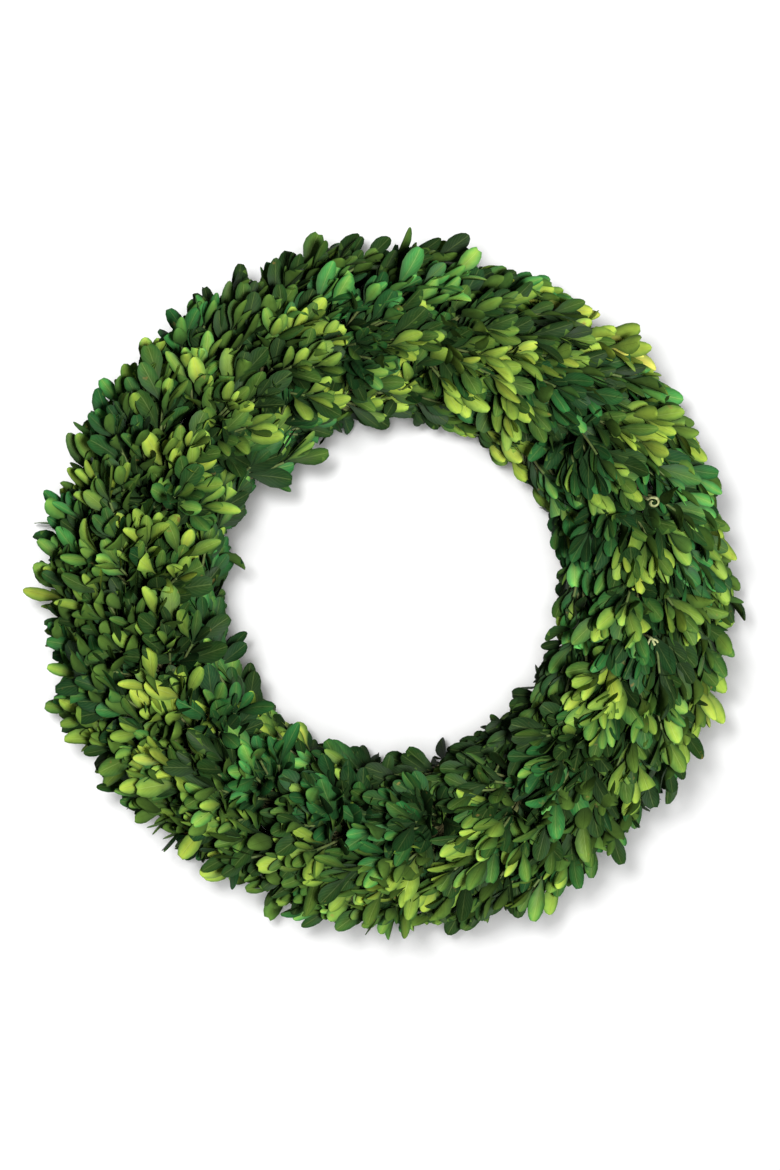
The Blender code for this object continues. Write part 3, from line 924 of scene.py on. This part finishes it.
swept_inputs = {"Half Width": 0.0017, "Half Thickness": 0.0007, "Material": straw_material}
swept_tree, given = new_tree("swept_section", swept_inputs)
tree = swept_tree
curves = result(tree, "GeometryNodeMeshToCurve", {0: given["Geometry"]})
length = add_node(tree, "GeometryNodeSplineParameter").outputs["Length"]
curves = store(tree, curves, "down_stalk", length)
section = result(tree, "GeometryNodeCurvePrimitiveCircle", {"Resolution": SECTION_SIDES, "Radius": 1.0})
number = result(tree, "GeometryNodeInputIndex")
from_seam = maths(tree, "MULTIPLY_ADD", number, 2 / SECTION_SIDES, -1.0)
section = store(tree, section, "round_stalk", maths(tree, "ABSOLUTE", from_seam))
sizes = {"X": given["Half Thickness"], "Y": given["Half Width"], "Z": 1.0}
squeeze = result(tree, "ShaderNodeCombineXYZ", sizes)
section = result(tree, "GeometryNodeTransform", {"Geometry": section, "Scale": squeeze})
facing = {"Curve": curves, "Normal": stored(tree, "over", "FLOAT_VECTOR")}
upright = result(tree, "GeometryNodeSetCurveNormal", facing, mode="FREE")
swept = {"Curve": upright, "Profile Curve": section, "Fill Caps": True}
tube = result(tree, "GeometryNodeCurveToMesh", swept)
down = product(tree, stored(tree, "down_stalk"), UV_A_METRE)
unrolled = result(tree, "ShaderNodeCombineXYZ", {"X": down, "Y": stored(tree, "round_stalk")})
tube = store(tree, tube, "UVMap", unrolled, "FLOAT2", "CORNER")
tube = result(tree, "GeometryNodeRealizeInstances", {"Geometry": tube})
finish = {"Geometry": tube, "Material": given["Material"]}
give_out(tree, Geometry=result(tree, "GeometryNodeSetMaterial", finish))
print("swept tree:", len(tree.nodes), "nodes")

# %% Straw stalks
STALKS = 150
STALK_POINTS = 14
LAPS_ROUND_STRAW = 7
FLAT_LEVEL = 0.0014

dice = random.Random("straw")
paths, overs, shades = [], [], []
for stalk in range(STALKS):
    over = tau * (stalk + dice.uniform(-0.4, 0.4)) / STALKS * LAPS_ROUND_STRAW
    start = dice.uniform(0, tau)
    length = dice.uniform(0.9, 1.9)
    drift = dice.uniform(-0.25, 0.25)
    lift = dice.uniform(-0.0012, 0.0004)
    shade = dice.random()
    path = []
    for step in range(STALK_POINTS):
        share = step / (STALK_POINTS - 1)
        here = over + drift * share
        end_lift = 0.0010 * (2 * share - 1) ** 6
        around = start + length * share
        point = place(around, here, STRAW_RADIUS + lift + end_lift)
        point.z = max(point.z, FLAT_LEVEL)
        path.append(point)
        overs.append(Vector((0, 0, -1)) if point.z == FLAT_LEVEL else outward(around, here))
        shades.append(shade)
    paths.append(path)
source = path_object("stalk_paths", paths, over=overs, shade=shades)
straw_stalks = grown("straw_stalks", source, swept_tree)
print("stalks:", STALKS, "faces:", len(straw_stalks.data.polygons))

# %% Straw core
CORE_RADIUS = STRAW_RADIUS - 0.0015
CORE_BUMPS = 0.0006
CORE_FLAT_LEVEL = 0.0006
CORE_STEPS = 120
CORE_SIDES = 18

points, faces, shades = [], [], []
dice = random.Random("core")
for step in range(CORE_STEPS):
    for side in range(CORE_SIDES):
        over = tau * side / CORE_SIDES
        distance = CORE_RADIUS + dice.uniform(-CORE_BUMPS, CORE_BUMPS)
        point = place(tau * step / CORE_STEPS, over, distance)
        point.z = max(point.z, CORE_FLAT_LEVEL)
        points.append(point)
        shades.append(0.25 * dice.random())
        next_step, next_side = (step + 1) % CORE_STEPS, (side + 1) % CORE_SIDES
        faces.append((
            step * CORE_SIDES + side, next_step * CORE_SIDES + side,
            next_step * CORE_SIDES + next_side, step * CORE_SIDES + next_side,
        ))
mesh = bpy.data.meshes.new("straw_core")
mesh.from_pydata(points, [], faces)
mesh.attributes.new("shade", "FLOAT", "POINT").data.foreach_set("value", shades)
layer = mesh.uv_layers.new(name="UVMap")
for polygon in mesh.polygons:
    step, side = divmod(polygon.index, CORE_SIDES)
    for loop, (ahead, beside) in zip(polygon.loop_indices, ((0, 0), (1, 0), (1, 1), (0, 1))):
        layer.data[loop].uv = (0.1 * (step + ahead), side + beside)
mesh.materials.append(straw_material)
mesh.shade_smooth()
straw_core = linked("straw_core", mesh)
for piece in (straw_stalks, straw_core):
    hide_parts("straw_ring")
    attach(piece, "root")
print("core faces:", len(faces))

# %% [markdown]
# ## Binding wire
# One green wire winds eighteen times round the ring and draws every bunch down. It is a closed path:
# it hugs the straw, rises over the stems at each of the three ties of a turn, and runs flat below.
# The tree that swept a flat section along the stalks sweeps a round one along it, without caps,
# because the path has no ends.

# %% Wire finish
wire_material, tree, shader = new_material("green_wire", 0.35, Coat_Weight=0.3)
tinted = with_mottle(tree, (0.020, 0.085, 0.035, 1), 300.0, 0.5)
coated(tree, shader, tinted, tinted["Mask"], 0.2, 0.0002)
print("wire material:", len(tree.nodes), "nodes")

# %% Wire
WIRE_RADIUS = 0.0004
WIRE_LIFT = 0.0012
WIRE_POINTS_A_TURN = 60
STEMS_RISE = 0.0052
STEMS_SPREAD = radians(9)

path, overs = [], []
for step in range(STATIONS * WIRE_POINTS_A_TURN):
    turn = step / WIRE_POINTS_A_TURN
    over = tau * (turn % 1)
    distance = STRAW_RADIUS + WIRE_LIFT
    for row in ROWS.values():
        off = (over - radians(row["tie"]) + pi) % tau - pi
        distance += STEMS_RISE * exp(-((off / STEMS_SPREAD) ** 2))
    around = turn * STATION_ANGLE
    point = place(around, over, distance)
    point.z = max(point.z, WIRE_RADIUS)
    path.append(point)
    overs.append(outward(around, over))
source = path_object("wire_path", [path], closed=True, over=overs)
sizes = {"Half Width": WIRE_RADIUS, "Half Thickness": WIRE_RADIUS, "Material": wire_material}
wire = grown("binding_wire_fine", source, swept_tree, **sizes)
wire.data.shade_smooth()
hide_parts("binding_wire")
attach(wire, "root")
print("wire faces:", len(wire.data.polygons))

# %% [markdown]
# ## Two pale bits
# Two small pale things catch the light on the right of the photograph, a curl and a torn tuft. They
# look like dry leaf ends. The curl is a flat band that turns back on itself, and the tuft is three
# short strands from one place. The same tree sweeps them too, and their lower ends stand deep in
# the leaves.

# %% Pale finish and paths
CURL_MIDDLE = Vector((0.1467, 0.0469, 0.0840))
CURL_STEPS = 24
TUFT_MIDDLE = Vector((0.1458, -0.0313, 0.0895))
# Millimetres to the right and up from the tuft's middle.
TUFT_STRANDS = (
    ((-0.9, 2.2), (-1.9, 0.9), (-2.5, -0.6), (-3.1, -2.3)),
    ((-0.9, 2.2), (0.1, 1.0), (0.5, -0.4), (1.2, -1.8)),
    ((-0.2, 1.4), (1.2, 1.3), (2.4, 0.7), (3.0, -0.4)),
)

pale_material, tree, shader = new_material("pale_leaf_end", 0.6, Specular_IOR_Level=0.3)
tinted = with_mottle(tree, (0.245, 0.265, 0.115, 1), 500.0, 1.2)
coated(tree, shader, tinted, tinted["Mask"], 0.4, 0.0002)

curl = []
for step in range(CURL_STEPS):
    share = step / (CURL_STEPS - 1)
    turn = radians(140 - 390 * share)
    height = 0.4 * sin(1.7 * turn) - 0.5 * share
    radius = 0.0038 - 0.0024 * share
    curl.append(CURL_MIDDLE + radius * Vector((cos(turn), 0.85 * sin(turn), height)))
strands = []
for strand in TUFT_STRANDS:
    strands.append([TUFT_MIDDLE + Vector((x, y, -0.2 * abs(x))) / 1000 for x, y in strand])
print("points of the curl:", len(curl), "strands of the tuft:", len(strands))

# %% Pale bits
PALE_DROP = Vector((-0.004, 0.003, -0.020))
PALE_HALF_THICKNESS = 0.0003
PALE_BITS = (
    ("pale_curl", CURL_MIDDLE, [curl], 0.0011),
    ("pale_tuft", TUFT_MIDDLE, strands, 0.0008),
)

for name, middle, seen, half_wide in PALE_BITS:
    paths = [[path[0] + PALE_DROP, path[0] + 0.2 * PALE_DROP, *path] for path in seen]
    overs = [Vector((0, 0, 1)) + 0.8 * (point - middle).normalized() for path in paths for point in path]
    source = path_object("pale_path", paths, over=overs)
    sizes = {"Half Width": half_wide, "Half Thickness": PALE_HALF_THICKNESS, "Material": pale_material}
    piece = grown(name, source, swept_tree, **sizes)
    piece.data.shade_smooth()
    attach(piece, "root")
    print(name, "faces:", len(piece.data.polygons))

# %% [markdown]
# ## Floor and light
# The picture has a white ground with a short soft shadow towards the lower right, and its leaves are
# lit from the right, with dark gaps. No one light does both. Light linking lets each light choose
# what it shines on: a steep key and a wide soft sun for the floor, and one light from the right for
# the leaves. All of them are still blocked by the foliage, so the shadows are true. The sun keeps the
# floor pale far away too, where it fills the picture in views from the side.

# %% Floor and world
FLOOR_SIZE = 40.0
WHITE_GROUND = (0.9, 0.9, 0.9, 1)
ROOM_LIGHT = 0.15

half = FLOOR_SIZE / 2
corners = [(-half, -half, 0), (half, -half, 0), (half, half, 0), (-half, half, 0)]
floor_mesh = bpy.data.meshes.new("floor")
floor_mesh.from_pydata(corners, [], [(0, 1, 2, 3)])
ground = new_material("white_ground", 0.9, Specular_IOR_Level=0.1, Base_Color=WHITE_GROUND)[0]
floor_mesh.materials.append(ground)
floor = linked("floor", floor_mesh)

world = bpy.data.worlds.new("studio")
world.use_nodes = True
background = world.node_tree.nodes["Background"].inputs
background["Color"].default_value = (1, 1, 1, 1)
background["Strength"].default_value = ROOM_LIGHT
scene.world = world
scene.view_settings.view_transform = "Standard"
print("floor in m:", FLOOR_SIZE, "room light:", ROOM_LIGHT)

# %% Lights


def shone_on(name, objects):
    """A collection that tells a light what it shines on."""
    collection = bpy.data.collections.new(name)
    for obj in objects:
        collection.objects.link(obj)
    return collection


def soft_light(name, position, size, share, receivers):
    """A soft light that looks at the wreath: a square with a size, or a sun with an angle that it fills.

    A share of 1 shows a white card as white.
    """
    data = bpy.data.lights.new(name, "SUN" if name.endswith("sun") else "AREA")
    if data.type == "SUN":
        data.angle = size
        data.energy = share * pi
    else:
        data.size = size
        data.energy = share * pi**2 * Vector(position).length_squared
    light = linked(name, data)
    light.location = position
    light.rotation_euler = (-Vector(position)).to_track_quat("-Z", "Y").to_euler()
    light.light_linking.receiver_collection = receivers
    return light


on_floor = shone_on("floor_only", [floor])
pieces = [obj for obj in scene.collection.objects if obj.type == "MESH" and obj is not floor]
on_wreath = shone_on("wreath_only", pieces)
lights = [
    soft_light("floor_key", (-0.36, 0.40, 1.9), 0.45, 0.60, on_floor),
    soft_light("floor_sun", (0.0, 0.0, 2.4), radians(37), 0.58, on_floor),
    soft_light("leaf_light", (0.36, -0.10, 1.68), 0.30, 2.02, on_wreath),
]
print("lights:", [light.name for light in lights])
